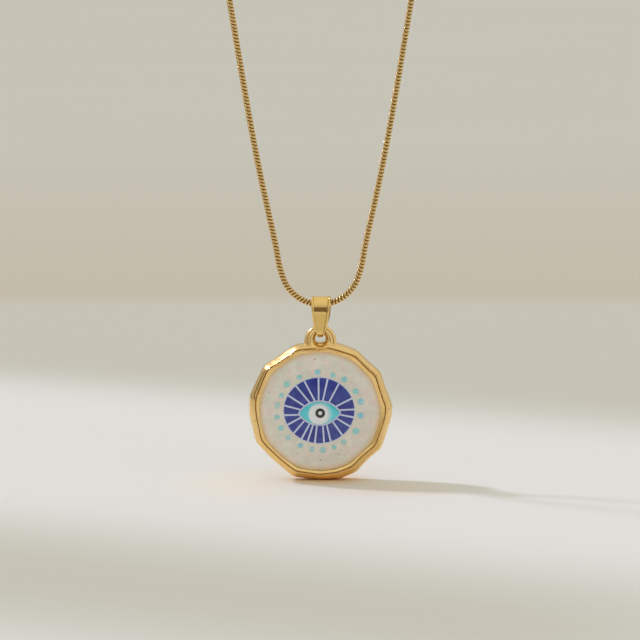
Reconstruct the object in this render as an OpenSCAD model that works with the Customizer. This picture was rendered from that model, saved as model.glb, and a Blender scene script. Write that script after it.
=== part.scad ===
// Eye pendant on a fine snake chain, hanging.
// X runs across the pendant, Y from its front to its back, and Z up, in millimetres.
// The origin is under the clasp, where the chain lies on a neck or a peg.

/* [Chain and clasp] */
// Outer diameter of the snake chain
chain_d = 0.9; // [0.7:0.1:0.9]
// Sides of the tube that stands for the chain
chain_sides = 8; // [8:1:12]
// Outer diameter of the barrel clasp
clasp_d = 2.6; // [2.2:0.2:3.2]
// Length of the barrel clasp
clasp_len = 9; // [8.6:0.2:10]

/* [Bail] */
// Metal thickness of the strip over the chain
bail_t = 0.4; // [0.3:0.05:0.45]
// Metal thickness of the tongue in the eyelet
tongue_t = 0.32; // [0.25:0.01:0.34]
// Space between the eyelet bar's axis and the tongue that wraps it
tongue_room = 0.76; // [0.74:0.01:0.78]
// Depth of the bail's round top, from front to back
bail_depth = 2.6; // [2.5:0.1:3]
// Space between the chain's axis and the bail's inner top
bail_headroom = 0.62; // [0.6:0.01:0.7]

/* [Eyelet] */
// Radius of the eyelet's hole
eyelet_r = 0.95; // [0.9:0.01:1]
// Height of the metal above the hole
eyelet_bar = 0.93; // [0.8:0.01:0.95]
// Depth of the eyelet's ring, from front to back
eyelet_depth = 1.1; // [0.9:0.1:1.1]

/* [Case and pearl] */
// Depth of the case, from the lip's crest to the flat back
case_depth = 2.4; // [2.2:0.1:3]
// How far the pearl's face lies behind the lip's crest
face_recess = 0.25; // [0.22:0.01:0.4]
// Thickness of the pearl disc
pearl_t = 1.1; // [0.8:0.1:1.2]
// Width of the lip, from the groove to the pearl
lip_w = 0.5; // [0.5:0.02:0.8]
// Depth of the groove between the wall and the lip
groove_depth = 0.2; // [0.1:0.02:0.3]

/* [Eye] */
// Half width of the blue oval
oval_a = 5.05; // [4.8:0.05:5.1]
// Half height of the blue oval
oval_b = 4.75; // [4.5:0.05:4.8]
// Half width between the corners of the lids
lid_a = 2.83; // [2.7:0.01:2.9]
// Half height between the lids
lid_b = 1.61; // [1.55:0.01:1.75]
// Width of the pale lines
line_w = 0.25; // [0.16:0.01:0.26]
// Radius of the white iris
iris_r = 1.5; // [1.4:0.05:1.5]
// Radius of the black pupil ring
pupil_r = 0.66; // [0.5:0.02:0.8]
// Radius of the white dot in the pupil
pupil_dot_r = 0.24; // [0.15:0.01:0.3]
// Thickness of one layer of enamel
layer_t = 0.035; // [0.02:0.005:0.035]

/* [Hidden] */

gap = 0.01;   // between pieces that lie on each other
cut = 1;      // how far a cutting shape runs past what it cuts
round_fn = 48;   // sides of a circle, where one is drawn as a polygon

// Right half of the chain's route, from its lowest point up to the clasp: [x, z].
// The left half is its mirror image.
half_route = [
    [0, -198], [1.9, -197.7], [3.6, -196.7], [4.85, -195.2], [5.5, -193.5], [6.3, -189.6],
    [8.4, -179.8], [12.7, -154.9], [19.1, -115], [25.2, -76], [29.9, -48], [32, -35],
    [32.2, -25], [30, -15.4], [25.4, -7.8], [19, -2.4], [11.5, 0.6], [6, 1.25], [3.9, 1.3]
];
route_steps = 2;       // rings on each stretch between two points of the route
chain_end_x = 3.9;     // the route's last x, inside the clasp's end
clasp_z = 1.3;         // the route's last z, where the clasp's axis lies

// Heights on the pendant's centre line
swing_z = -197.92;                   // axis that the bail swings on, through the chain
bar_z = swing_z - 3.7;               // axis that the pendant swings on, through the eyelet's top bar
hole_z = bar_z - eyelet_r - eyelet_bar / 2;
centre_z = swing_z - 15.2;           // middle of the case
front_y = -1.48;                     // plane of the lip's crest, so that the case hangs upright
face_y = front_y + face_recess;      // plane of the pearl's face

// Half width of the bail, seen from the front: [height over the chain's axis, half width]
bail_outline = [
    [1.2, 1.36], [0, 1.33], [-1.2, 1.19], [-2.1, 1.11], [-3.15, 0.93], [-3.6, 0.77],
    [-4.1, 0.58], [-4.45, 0.46], [-4.7, 0.3], [-4.9, 0.12]
];

// Corners of the case: [angle, radius of the outline, radius of the groove, swell of the facet after it]
case_corners = [
    [5, 10.17, 9.20, -0.08],
    [33, 10.13, 9.27, -0.08],
    [58, 10.03, 9.26, 0.10],
    [84, 10.00, 9.10, 0],
    [110, 10.03, 9.36, -0.05],
    [141, 10.20, 9.55, 0.02],
    [168, 10.19, 9.26, 0.06],
    [185, 10.00, 8.97, 0],
    [206, 10.18, 9.20, 0.18],
    [248, 10.20, 9.10, 0],
    [269, 9.88, 8.90, 0],
    [286, 10.10, 8.93, 0],
    [300, 10.17, 8.98, -0.15],
    [328, 10.18, 9.07, 0],
    [352, 10.02, 9.02, 0.05]
];
corner_soft = 3;       // degrees to each side of a corner that its rounding takes
corner_drop = 0.05;    // how much the rounding takes off the corner

// Section of the case's wall: [place, share of the case's depth].
// Place 0 is the outline, 1 the groove, and 2 the edge of the pearl.
wall_section = [
    [0.42, 1], [0.10, 0.90], [0, 0.72], [0.05, 0.42], [0.30, 0.16], [0.62, 0.04], [0.88, 0.02]
];
lip_section = [[1.16, 0], [1.5, 0]];
groove_floor = [0.9, 1.12];    // places of the two sides of the groove's floor
pearl_edge = 2;                // place where the lip ends over the pearl
pocket_step = 0.02;            // how much further in the pocket's wall stands, as a place
pearl_step = 0.06;             // the same for the pearl's own edge
pocket_room = 0.05;            // space behind the pearl

// Foot that joins the eyelet to the case: [half width, height over the hole's middle]
foot_rows = [[1.85, 0.3], [2.2, -0.6], [3, -1.3]];
ring_bevel = 0.32;             // rounds the eyelet's ring
hole_taper = 0.6;              // radius of the hole at the back, as a share of that at the front

// Rays of the eye: [angle on the oval, angle on the lids]
rays = [
    [2, 9], [22, 22], [56, 48], [76, 75], [91, 94], [115, 110], [131, 133], [152, 155], [171, 170],
    [188, 185], [206, 193], [224, 206], [240, 227], [251, 241], [263, 258], [278, 286], [289, 303],
    [311, 328], [331, 343], [348, 356]
];
oval_at = [-0.17, 0.18];    // middle of the oval, from the middle of the case: [x, z]
dots_at = [-0.13, 0.09];    // middle of the ring of dots
eye_at = [-0.12, -0.18];    // middle of the almond between the lids
iris_at = [-0.12, -0.35];   // middle of the iris, which the lower lid cuts
pupil_at = [-0.02, -0.18];  // middle of the pupil
lid_tilt = 1.5;             // degrees that the lids' corners are turned

oval_line_w = line_w * 0.6; // width of the pale line along the oval's edge
lid_line_w = line_w * 0.8;  // width of the pale line along the lids
oval_step = 6;              // degrees between the points of the oval

// Dots round the oval: [angle, distance from their middle, radius]
dot_rows = [
    [13, 5.97, 0.46], [29, 5.84, 0.42], [52, 5.69, 0.42], [70, 5.47, 0.36], [93, 5.53, 0.42],
    [120, 5.61, 0.39], [140, 5.94, 0.46], [157, 5.77, 0.38], [172, 5.97, 0.42], [188, 6.03, 0.39],
    [204, 5.92, 0.42], [221, 5.77, 0.39], [241, 5.60, 0.38], [259, 5.51, 0.42], [275, 5.55, 0.45],
    [292, 5.50, 0.36], [308, 5.59, 0.39], [331, 5.86, 0.45], [354, 5.81, 0.46]
];
dot_rise = 0.16;            // height of a dot over the pearl
// Section of a dot: [share of its radius, share of its rise]
dot_section = [[0, 0], [1, 0], [0.78, 0.65], [0.42, 1], [0, 1]];

// A point between a and b
function between(a, b, t) = a + (b - a) * t;

// Chain: the whole route, its directions and the rings of its tube
right_half = [for (i = [len(half_route) - 1 : -1 : 1]) half_route[i]];
left_half = [for (p = half_route) [-p[0], p[1]]];
route = concat(right_half, left_half);

function step_len(i) = norm(route[i + 1] - route[i]);
function slope(i) = (route[i + 1] - route[i]) / step_len(i);
function heading(i) =
    i == 0 ? slope(0)
    : i == len(route) - 1 ? slope(i - 1)
    : (slope(i - 1) * step_len(i) + slope(i) * step_len(i - 1)) / (step_len(i - 1) + step_len(i));
function on_curve(i, t) =
    route[i] * (2 * t^3 - 3 * t^2 + 1) + route[i + 1] * (3 * t^2 - 2 * t^3)
    + heading(i) * step_len(i) * (t^3 - 2 * t^2 + t)
    + heading(i + 1) * step_len(i) * (t^3 - t^2);

line = [
    for (i = [0 : len(route) - 2], k = [0 : route_steps - 1]) on_curve(i, k / route_steps),
    route[len(route) - 1]
];
function line_heading(i) =
    let (a = line[max(i - 1, 0)], b = line[min(i + 1, len(line) - 1)]) (b - a) / norm(b - a);
function ring(i) =
    let (h = line_heading(i))
    [for (k = [0 : chain_sides - 1])
        let (a = 360 * k / chain_sides, side = cos(a) * chain_d / 2)
        [line[i][0] - h[1] * side, sin(a) * chain_d / 2, line[i][1] + h[0] * side]];

module chain() {
    n = chain_sides;
    last = len(line) - 1;
    points = [for (i = [0 : last]) each ring(i)];
    sides = [for (i = [0 : last - 1], k = [0 : n - 1])
        [i * n + k, i * n + (k + 1) % n, (i + 1) * n + (k + 1) % n, (i + 1) * n + k]];
    start_cap = [[for (k = [n - 1 : -1 : 0]) k]];
    end_cap = [[for (k = [0 : n - 1]) last * n + k]];
    color("goldenrod") polyhedron(points, concat(sides, start_cap, end_cap), convexity = 10);
}

// Clasp: a plain barrel that the two ends of the chain go into
module clasp() {
    end_r = clasp_d * 0.3;
    socket_room = 0.05;
    socket_r = chain_d / 2 + socket_room;
    socket_x = chain_end_x - socket_room;
    half = clasp_len / 2;
    straight = half * 0.72;
    profile = [
        [0, -socket_x], [socket_r, -socket_x], [socket_r, -half], [end_r, -half],
        [clasp_d / 2, -straight], [clasp_d / 2, straight],
        [end_r, half], [socket_r, half], [socket_r, socket_x], [0, socket_x]
    ];
    color("goldenrod") translate([0, 0, clasp_z]) rotate([0, 90, 0])
        rotate_extrude($fn = round_fn) polygon(profile);
}

// Bail: a closed loop, seen from the side, cut to the strip's outline, seen from the front
module loop(top_z, top_r, low_z, low_r, width) {
    tilt = asin((top_r - low_r) / (top_z - low_z));
    sides = [
        [cos(tilt) * top_r, top_z + sin(tilt) * top_r],
        [-cos(tilt) * top_r, top_z + sin(tilt) * top_r],
        [-cos(tilt) * low_r, low_z + sin(tilt) * low_r],
        [cos(tilt) * low_r, low_z + sin(tilt) * low_r]
    ];
    rotate([90, 0, 90]) linear_extrude(width, center = true) {
        translate([0, top_z]) circle(top_r, $fn = round_fn);
        translate([0, low_z]) circle(low_r, $fn = round_fn);
        polygon(sides);
    }
}

module bail() {
    top_r = bail_depth / 2;
    top_z = swing_z + bail_headroom + bail_t - top_r;
    low_r = tongue_room + tongue_t;
    side = [for (row = bail_outline) [row[1], swing_z + row[0]]];
    other_side = [for (i = [len(side) - 1 : -1 : 0]) [-side[i][0], side[i][1]]];
    wide = 2 * side[0][0] + cut;
    deep = bail_depth + cut;
    color("goldenrod") intersection() {
        difference() {
            loop(top_z, top_r, bar_z, low_r, wide);
            loop(top_z, top_r - bail_t, bar_z, tongue_room, wide + cut);
        }
        translate([0, deep / 2, 0]) rotate([90, 0, 0]) linear_extrude(deep)
            polygon(concat(side, other_side));
    }
}

// Outline of the case at a place between its outline (0), the groove (1) and the pearl's edge (2)
function corner_r(row, place) =
    place <= 1 ? between(row[1], row[2], place) : row[2] - (place - 1) * lip_w;
function chord_r(a, b, angle) =
    let (span = (b[0] - a[0] + 360) % 360, part = (angle - a[0] + 360) % 360)
    a[1] * b[1] * sin(span) / (a[1] * sin(part) + b[1] * sin(span - part));
function facet(i, place) =
    let (
        row = case_corners[i],
        next = case_corners[(i + 1) % len(case_corners)],
        span = (next[0] - row[0] + 360) % 360,
        a = [row[0], corner_r(row, place)],
        b = [next[0], corner_r(next, place)],
        from = row[0] + corner_soft,
        mid = row[0] + span / 2,
        to = row[0] + span - corner_soft
    )
    [
        [row[0], a[1] - corner_drop],
        [from, chord_r(a, b, from)],
        [mid, chord_r(a, b, mid) + row[3]],
        [to, chord_r(a, b, to)]
    ];
function outline(place) =
    [for (i = [0 : len(case_corners) - 1]) each [for (p = facet(i, place)) p[1] * [cos(p[0]), sin(p[0])]]];

// Case: the casting's body, lofted through its section, with the eyelet on top
module case_body() {
    pocket = (face_recess + pearl_t + pocket_room) / case_depth;
    groove = groove_depth / case_depth;
    section = concat(
        wall_section,
        [for (place = groove_floor) [place, groove]],
        lip_section,
        [[pearl_edge, face_recess / case_depth], [pearl_edge + pocket_step, pocket]]
    );
    rings = [for (row = section) outline(row[0])];
    n = len(rings[0]);
    last = len(section) - 1;
    points = [for (i = [0 : last]) each
        [for (p = rings[i]) [p[0], front_y + section[i][1] * case_depth, centre_z + p[1]]]];
    sides = [for (i = [0 : last - 1], k = [0 : n - 1])
        [i * n + k, (i + 1) * n + k, (i + 1) * n + (k + 1) % n, i * n + (k + 1) % n]];
    back = [[for (k = [0 : n - 1]) k]];
    floor = [[for (k = [n - 1 : -1 : 0]) last * n + k]];
    polyhedron(points, concat(sides, back, floor), convexity = 6);
}

module along_y(from, length, at_z) {
    translate([0, from, at_z]) rotate([-90, 0, 0]) linear_extrude(length) children();
}

module eyelet_ring() {
    half = eyelet_bar / 2;
    bevel = ring_bevel;
    d = eyelet_depth / 2;
    section = [
        [-half, -d + bevel], [-half + bevel, -d], [half - bevel, -d], [half, -d + bevel],
        [half, d - bevel], [half - bevel, d], [-half + bevel, d], [-half, d - bevel]
    ];
    translate([0, 0, hole_z]) rotate([90, 0, 0])
        rotate_extrude($fn = round_fn) translate([eyelet_r + half, 0]) polygon(section);
}

// Space that keeps the eyelet's ring off the pearl: all of it above the hole's lowest point
module above_pearl() {
    reach = eyelet_r + eyelet_bar + cut;
    translate([-reach, -reach, hole_z - eyelet_r]) cube(2 * reach);
}

module eyelet_foot() {
    other_side = [for (i = [len(foot_rows) - 1 : -1 : 0]) [-foot_rows[i][0], foot_rows[i][1]]];
    along_y(-eyelet_depth / 2, eyelet_depth, hole_z) mirror([0, 1])
        polygon(concat(foot_rows, other_side));
}

module case() {
    narrow_r = eyelet_r * hole_taper;
    color("goldenrod") {
        difference() {
            union() {
                case_body();
                eyelet_foot();
            }
            // The hole narrows towards the back, where the case's wall stands behind it
            translate([0, front_y, hole_z]) rotate([-90, 0, 0])
                cylinder(h = case_depth, r1 = eyelet_r, r2 = narrow_r, $fn = round_fn);
            translate([0, front_y - cut, hole_z]) rotate([-90, 0, 0])
                cylinder(h = cut, r = eyelet_r, $fn = round_fn);
            translate([0, front_y + case_depth, hole_z]) rotate([-90, 0, 0])
                cylinder(h = cut, r = narrow_r, $fn = round_fn);
        }
        intersection() {
            eyelet_ring();
            above_pearl();
        }
    }
}

// Pearl: the disc fills the pocket and stops just short of the lip
module pearl_face() {
    color("seashell") along_y(face_y, pearl_t, centre_z) mirror([0, 1])
        polygon(outline(pearl_edge + pearl_step));
}

// Places one layer of enamel on the pearl: level 0 is the lowest
module layer(level, thickness) {
    top = face_y - gap * (level + 1) - layer_t * level;
    along_y(top - thickness, thickness, centre_z) mirror([0, 1]) children();
}

function on_oval(angle, grow) =
    oval_at + [(oval_a + grow) * cos(angle), (oval_b + grow) * sin(angle)];
lid_r = (lid_a * lid_a + lid_b * lid_b) / (2 * lid_b);

module oval(grow) {
    polygon([for (a = [0 : oval_step : 359]) on_oval(a, grow)]);
}

module lids(grow) {
    translate(eye_at) rotate(lid_tilt) intersection() {
        translate([0, lid_b - lid_r]) circle(lid_r + grow, $fn = round_fn);
        translate([0, lid_r - lid_b]) circle(lid_r + grow, $fn = round_fn);
    }
}

// Where a line from the eye's middle at this angle meets the lids
function lid_reach(angle) =
    let (rise = lid_r - lid_b, up = abs(sin(angle - lid_tilt)))
    sqrt(lid_r * lid_r - rise * rise * (1 - up * up)) - rise * up;

module ray(row) {
    inner = eye_at + lid_reach(row[1]) * [cos(row[1]), sin(row[1])];
    outer = on_oval(row[0], -line_w / 2);
    run = outer - inner;
    translate(inner) rotate(atan2(run[1], run[0]))
        translate([0, -line_w / 2]) square([norm(run), line_w]);
}

module blue_oval() {
    color("midnightblue") layer(0, layer_t) oval(0);
}

module ray_lines() {
    color("lightsteelblue") layer(1, layer_t) {
        difference() {
            oval(0);
            oval(-oval_line_w);
        }
        difference() {
            union() {
                for (row = rays) ray(row);
                lids(lid_line_w);
            }
            lids(0);
        }
    }
}

module almond() {
    color("mediumturquoise") layer(1, layer_t) lids(-gap);
}

module iris() {
    color("white") layer(2, layer_t) intersection() {
        translate(iris_at) circle(iris_r, $fn = round_fn);
        lids(-gap);
    }
}

module pupil_ring() {
    color("black") layer(3, layer_t) translate(pupil_at) difference() {
        circle(pupil_r, $fn = round_fn);
        circle(pupil_dot_r + gap, $fn = round_fn);
    }
}

module pupil_dot() {
    color("white") layer(3, layer_t) translate(pupil_at) circle(pupil_dot_r, $fn = round_fn);
}

// Dots: shallow domes with a flat top
module dots() {
    color("turquoise") for (row = dot_rows) {
        x = dots_at[0] + row[1] * cos(row[0]);
        z = centre_z + dots_at[1] + row[1] * sin(row[0]);
        translate([x, face_y - gap, z]) rotate([90, 0, 0]) rotate_extrude($fn = round_fn)
            polygon([for (p = dot_section) [p[0] * row[2], p[1] * dot_rise]]);
    }
}

chain();
clasp();
bail();
case();
pearl_face();
blue_oval();
ray_lines();
almond();
iris();
pupil_ring();
pupil_dot();
dots();
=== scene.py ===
"""Looks of the eye pendant: a gold-plated case with a mother-of-pearl face and an enamel eye, on a
folded bail and a closed loop of fine snake chain.

Shapes are worked out in millimetres, in the model's own frame, and written to meshes in metres.
"""
import math

import bpy
import bmesh
import numpy as np
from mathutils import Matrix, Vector, noise
from mathutils.geometry import tessellate_polygon


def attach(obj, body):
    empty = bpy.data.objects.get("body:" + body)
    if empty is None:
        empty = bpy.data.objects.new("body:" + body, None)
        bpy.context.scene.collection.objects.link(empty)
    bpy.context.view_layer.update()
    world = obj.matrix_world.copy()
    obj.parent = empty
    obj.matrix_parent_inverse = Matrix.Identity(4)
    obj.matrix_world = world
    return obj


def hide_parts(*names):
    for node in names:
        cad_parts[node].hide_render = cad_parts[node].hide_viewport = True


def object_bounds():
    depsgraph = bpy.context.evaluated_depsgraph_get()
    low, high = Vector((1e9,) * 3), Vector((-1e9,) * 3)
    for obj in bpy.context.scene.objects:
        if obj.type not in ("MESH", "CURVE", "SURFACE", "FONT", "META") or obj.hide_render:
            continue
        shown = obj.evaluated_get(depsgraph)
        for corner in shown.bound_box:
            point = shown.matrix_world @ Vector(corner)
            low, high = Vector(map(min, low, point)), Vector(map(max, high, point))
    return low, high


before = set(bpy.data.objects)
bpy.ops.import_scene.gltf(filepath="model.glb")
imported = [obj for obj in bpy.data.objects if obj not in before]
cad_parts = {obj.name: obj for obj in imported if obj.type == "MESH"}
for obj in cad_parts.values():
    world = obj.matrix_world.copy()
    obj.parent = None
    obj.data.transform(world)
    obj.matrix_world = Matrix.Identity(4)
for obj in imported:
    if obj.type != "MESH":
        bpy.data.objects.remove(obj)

CAD_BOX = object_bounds()
MM = 0.001

# Heights on the pendant's centre line
SWING_Z = -197.92           # axis that the bail swings on, through the chain
BAR_Z = SWING_Z - 3.7       # axis that the pendant swings on, through the eyelet's top bar
HOLE_Z = BAR_Z - 1.415      # middle of the eyelet's hole
CENTRE_Z = SWING_Z - 15.2   # middle of the case
FRONT_Y = -1.48             # plane of the lip's crest
FACE_Y = FRONT_Y + 0.25     # plane of the pearl's face
CASE_DEPTH = 2.4

# Right half of the chain's route, from its lowest point up to the clasp: x, z
HALF_ROUTE = [
    (0, -198), (1.9, -197.7), (3.6, -196.7), (4.85, -195.2), (5.5, -193.5), (6.3, -189.6),
    (8.4, -179.8), (12.7, -154.9), (19.1, -115), (25.2, -76), (29.9, -48), (32, -35),
    (32.2, -25), (30, -15.4), (25.4, -7.8), (19, -2.4), (11.5, 0.6), (6, 1.25), (3.9, 1.3),
]
LINK_PITCH = 0.485
LINK_SIDES = 18
LINK_WAVE = 0.12            # how far a link's edge rises and falls along the chain
# Section of a link: share of the pitch, radius
LINK_SECTION = [
    (0.0, 0.28), (0.07, 0.32), (0.18, 0.405), (0.34, 0.445), (0.56, 0.45), (0.75, 0.415), (0.9, 0.33),
]
LINK_GAP_R = 0.46           # painted shade between the links, the darker the deeper under this radius
LINK_GAP_FADE = 0.13
CHAIN_TWIST = 45            # how far the left strand's links are turned about the strand, in degrees
TWIST_FROM, TWIST_OVER = 0.46, 0.08     # where the twist starts and how long it runs, as shares of the loop

# Half width of the bail, seen from the front: height over the chain's axis, half width
BAIL_OUTLINE = [
    (1.2, 1.36), (0, 1.33), (-1.2, 1.19), (-2.1, 1.11), (-3.15, 0.93), (-3.6, 0.77),
    (-4.1, 0.58), (-4.45, 0.46), (-4.7, 0.30), (-4.9, 0.12),
]
BAIL_TOP_Z = SWING_Z + 1.02
# Side of the bail, from its top down to where it runs straight: length of a bend, slope at its end
BAIL_BENDS = [(0.80, 34), (1.08, 25), (0.22, 15), (0.50, 4.5), (0.28, -2), (0.2, -6)]
BAIL_T = 0.34
TONGUE_T = 0.32
BAIL_SKEW = 0.10            # how far the strip's back is pushed to the right, for each mm of depth
BAIL_SKEW_RUN = 1.6         # how far over the eyelet's bar the skew is full
BAIL_FRONT = 1.3            # how far the strip's front stands out from the chain's axis
BAIL_RIM = 0.28             # width of the raised edge along the strip
BAIL_RIM_MOST = 0.3         # and the most that it takes of the strip's half width
BAIL_DISH = 0.13            # depth of the panel between the raised edges
BAIL_DISH_TOP = 0.3         # share of that depth at the bail's top
BAIL_DISH_RUN = 0.4         # how far down from the top the panel has its full depth
BAIL_STEP = 0.07            # length of one step along the strip's bends
# Raised edge of the strip: in from the side as a share of its width, share of the side's rounding,
# share of the panel's depth
BAIL_EDGE = [
    (0, 1, 0), (0.10, 0.45, 0), (0.28, 0.12, 0), (0.48, 0, 0), (0.66, 0, 0.04), (0.82, 0, 0.3),
    (1.0, 0, 0.75), (1.2, 0, 0.97), (1.5, 0, 1),
]
BAIL_EDGE_FOOT = 1.1        # where the raised edge meets the panel, as a share of its width
BAIL_SHADE_LINES = (0.4, 0.8)     # how dark the painted shade is along the left and right raised edge
BAIL_LINE_W = 0.04          # half width of those lines
BAIL_UNDERSIDE_SHADE = 0.75       # how dark the painted shade is under the strip
BAIL_SWELL = 0.006          # how uneven the strip is

# Corners of the case: angle, radius of the outline, radius of the groove, and for the facet after it
# its swell, how far its wall leans out towards the back, and how flat its edge is filed
CORNERS = [
    (5, 10.17, 9.20, -0.08, 0.02, 0.1),
    (33, 10.13, 9.27, -0.08, -0.03, 0.0),
    (58, 10.03, 9.26, 0.1, 0.04, 0.3),
    (84, 10.00, 9.10, 0, 0, 0.2),
    (110, 10.03, 9.36, -0.05, -0.02, 0.95),
    (141, 10.20, 9.55, 0.02, 0.05, 0.35),
    (168, 10.19, 9.26, 0.06, 0, 0.1),
    (185, 10.00, 8.97, 0, 0.04, 0.3),
    (206, 10.18, 9.20, 0.18, -0.04, 0.1),
    (248, 10.20, 9.10, 0, 0.02, 0.3),
    (269, 9.88, 8.90, 0, 0, 0.1),
    (286, 10.10, 8.93, 0, -0.03, 0.3),
    (300, 10.17, 8.98, -0.15, 0.04, 0.0),
    (328, 10.18, 9.07, 0, 0, 0.2),
    (352, 10.02, 9.02, 0.05, 0.03, 0.0),
]
CORNER_SOFT = 2.6           # degrees to each side of a corner that its rounding takes
PEARL_R = 8.5               # the pearl's edge lies halfway between a circle and the facets
PEARL_AT = (-0.13, 0.05)
LIP_W = 0.50
CASE_STEPS = 720
# Section of the case, from the back to the pocket behind the pearl: place, depth behind the lip's
# crest. Place 0 is the outline, 1 the groove and 2 the edge of the pearl.
CASE_SECTION = [
    (0.70, 2.40), (0.48, 2.395), (0.34, 2.36), (0.22, 2.28), (0.12, 2.16), (0.05, 2.0),
    (0.01, 1.82), (0.0, 1.6), (0.0, 1.36), (0.02, 1.12), (0.06, 0.90), (0.12, 0.71),
    (0.20, 0.54), (0.29, 0.40), (0.39, 0.285), (0.50, 0.195), (0.61, 0.13), (0.72, 0.09),
    (0.80, 0.075), (0.87, 0.08), (0.91, 0.10), (0.94, 0.14), (0.96, 0.21), (0.98, 0.27),
    (1.015, 0.28), (1.05, 0.21), (1.085, 0.12), (1.12, 0.045), (1.155, 0.012), (1.20, 0.0),
    (1.25, 0.008), (1.32, 0.032), (1.42, 0.072), (1.54, 0.118), (1.66, 0.160), (1.78, 0.198),
    (1.90, 0.228), (1.98, 0.244), (2.06, 0.25), (2.10, 0.25), (2.10, 0.253), (2.02, 0.27), (2.02, 1.40),
]
FILED_EDGE = (0.85, 0.08, 1.15)     # a filed edge: place where it starts, depth there, and its drop
LEAN_PIVOT = 0.3            # share of the case's depth where a leaning facet keeps its radius
CASE_SWELLS = [(0.032, 2.4, 11), (0.015, 0.8, 5)]   # swells of the casting: height, size, seed
LIP_SWELL = 0.25            # share of the swell that shifts the groove and the lip outward
SEAT = 2.02                 # place of the wall that the pearl is let into
# How dark the painted shade is in the groove: angle, share
GROOVE_SHADE = [
    (0, 0.95), (58, 0.85), (72, 0.3), (108, 0.2), (122, 1.0), (226, 0.95), (242, 0.5), (344, 0.5),
    (360, 0.95),
]
GROOVE_REACH = 0.06         # how far to each side of the groove the painted shade reaches, in places
# A second line cast into the upper left facet, which also gets painted shade: angle, place
CAST_LINE = [(142, 0.66), (150, 0.53), (165, 0.53), (169, 0.84)]
CAST_LINE_REACH = 0.15      # half width of the line, in places
CAST_LINE_FLAT = 1.4        # over 1, so that the line has a flat bottom
CAST_LINE_DEPTH = 0.08
# Painted shade of small pits in the front, which have no dent in the mesh: x, z, radius
PIT_SHADES = [(-9.13, -1.21, 0.15), (9.61, 0.39, 0.15)]

# Eyelet: angle round its hole, radius of the hole, outer radius, and the depths of its front and back
EYELET_RING = [
    (-90, 0.74, 1.42, -1.45, 0.90), (-66, 0.73, 1.62, -1.43, 0.90), (-46, 0.72, 2.02, -1.34, 0.90),
    (-28, 0.72, 2.42, -1.16, 0.88), (-12, 0.72, 2.34, -0.97, 0.82), (4, 0.72, 2.22, -0.84, 0.74),
    (24, 0.74, 2.16, -0.73, 0.66), (46, 0.79, 2.12, -0.64, 0.60), (68, 0.82, 2.09, -0.58, 0.56),
    (90, 0.82, 2.07, -0.55, 0.55),
]
EYELET_BACK_A = 0.78        # half width of the hole at the case's back
EYELET_BACK_B = 0.40        # half height of its lower part there
EYELET_BEVEL = 0.30         # how far the hole opens out behind, under the top bar, for the bail's tongue
EYELET_STEPS = 96
# Section of the eyelet's front: share of the way from the hole to the outer edge, depth
EYELET_SECTION = [
    (0.0, 0.62), (0.04, 0.53), (0.10, 0.42), (0.17, 0.30), (0.25, 0.18), (0.33, 0.085), (0.40, 0.02),
    (0.45, 0.0), (0.50, 0.02), (0.56, 0.07), (0.61, 0.13), (0.645, 0.19), (0.67, 0.21), (0.70, 0.19),
    (0.78, 0.21), (0.86, 0.28), (0.93, 0.38), (0.98, 0.48),
]
# Rounding of its rear at the outer edge and at the hole: distance from that edge, and from the back
EYELET_REAR_OUTER = [(0.10, 0.14), (0.24, 0.03), (0.40, 0)]
EYELET_REAR_INNER = [(0.30, 0), (0.12, 0.06), (0.03, 0.16), (0, 0.30)]
# Section of the hole's wall: share of the way to the back, share of the taper
EYELET_WALL = [(0.30, 0.97), (0.20, 0.88), (0.12, 0.68), (0.06, 0.40), (0.02, 0.16)]
EYELET_WALL_FRONT = 0.64    # how far behind the ring's front the hole's wall starts
EYELET_WALL_BACK = 0.32     # and how far before its back it ends
# Painted shade on it: towards the hole from a share of the way out, fading over a share, and
# in a line in the ring's groove, with its place, half width and darkness
EYELET_HOLE_SHADE = (0.36, 0.12)
EYELET_SHADE_LINE = (0.66, 0.02, 0.6)
EYELET_WALL_SHADE = (0.4, 0.6)      # how dark the painted shade is at the rear of the hole's wall, and along the wall
EYELET_SWELL = 0.012        # how uneven the ring is
EYELET_BORE_R = 1.2         # the case is bored this wide, and the eyelet's ring fills the bore

# Eye: places are from the middle of the case, x across and z up
OVAL_A, OVAL_B = 5.05, 4.75
OVAL_AT = (-0.17, 0.18)
EYE_AT = (-0.12, -0.18)
LID_A, LID_B = 2.83, 1.61
LID_R = (LID_A**2 + LID_B**2) / (2 * LID_B)
LID_TILT = 1.5
LINE_W = 0.25
IRIS_AT = (-0.12, -0.35)    # the lower lid cuts the iris
IRIS_R = 1.5
PUPIL_AT = (-0.02, -0.18)
PUPIL_R = 0.68
PUPIL_DOT_R = 0.27
LAYER = 0.045               # from the top of one layer of enamel to the next
LET_IN = 0.008              # how deep the lowest enamel is let into the pearl
LAYER_ROOT = 0.9            # how much of a layer each level's underside rises
ENAMEL_GAP = 0.012          # between two enamels that lie side by side
ROUND_STEPS = 120           # points round the oval and the lids
# Rays: angle on the oval, angle on the lids
RAYS = [
    (2, 9), (22, 22), (56, 48), (76, 75), (91, 94), (115, 110), (131, 133), (152, 155), (171, 170),
    (188, 185), (206, 193), (224, 206), (240, 227), (251, 241), (263, 258), (278, 286), (289, 303),
    (311, 328), (331, 343), (348, 356),
]
RAY_ENDS = (0.06, -0.03)    # a ray starts this far outside the lids and ends so far outside the oval
RAY_WIDTHS = (0.88, 1.04)   # its width there, as shares of LINE_W
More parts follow.
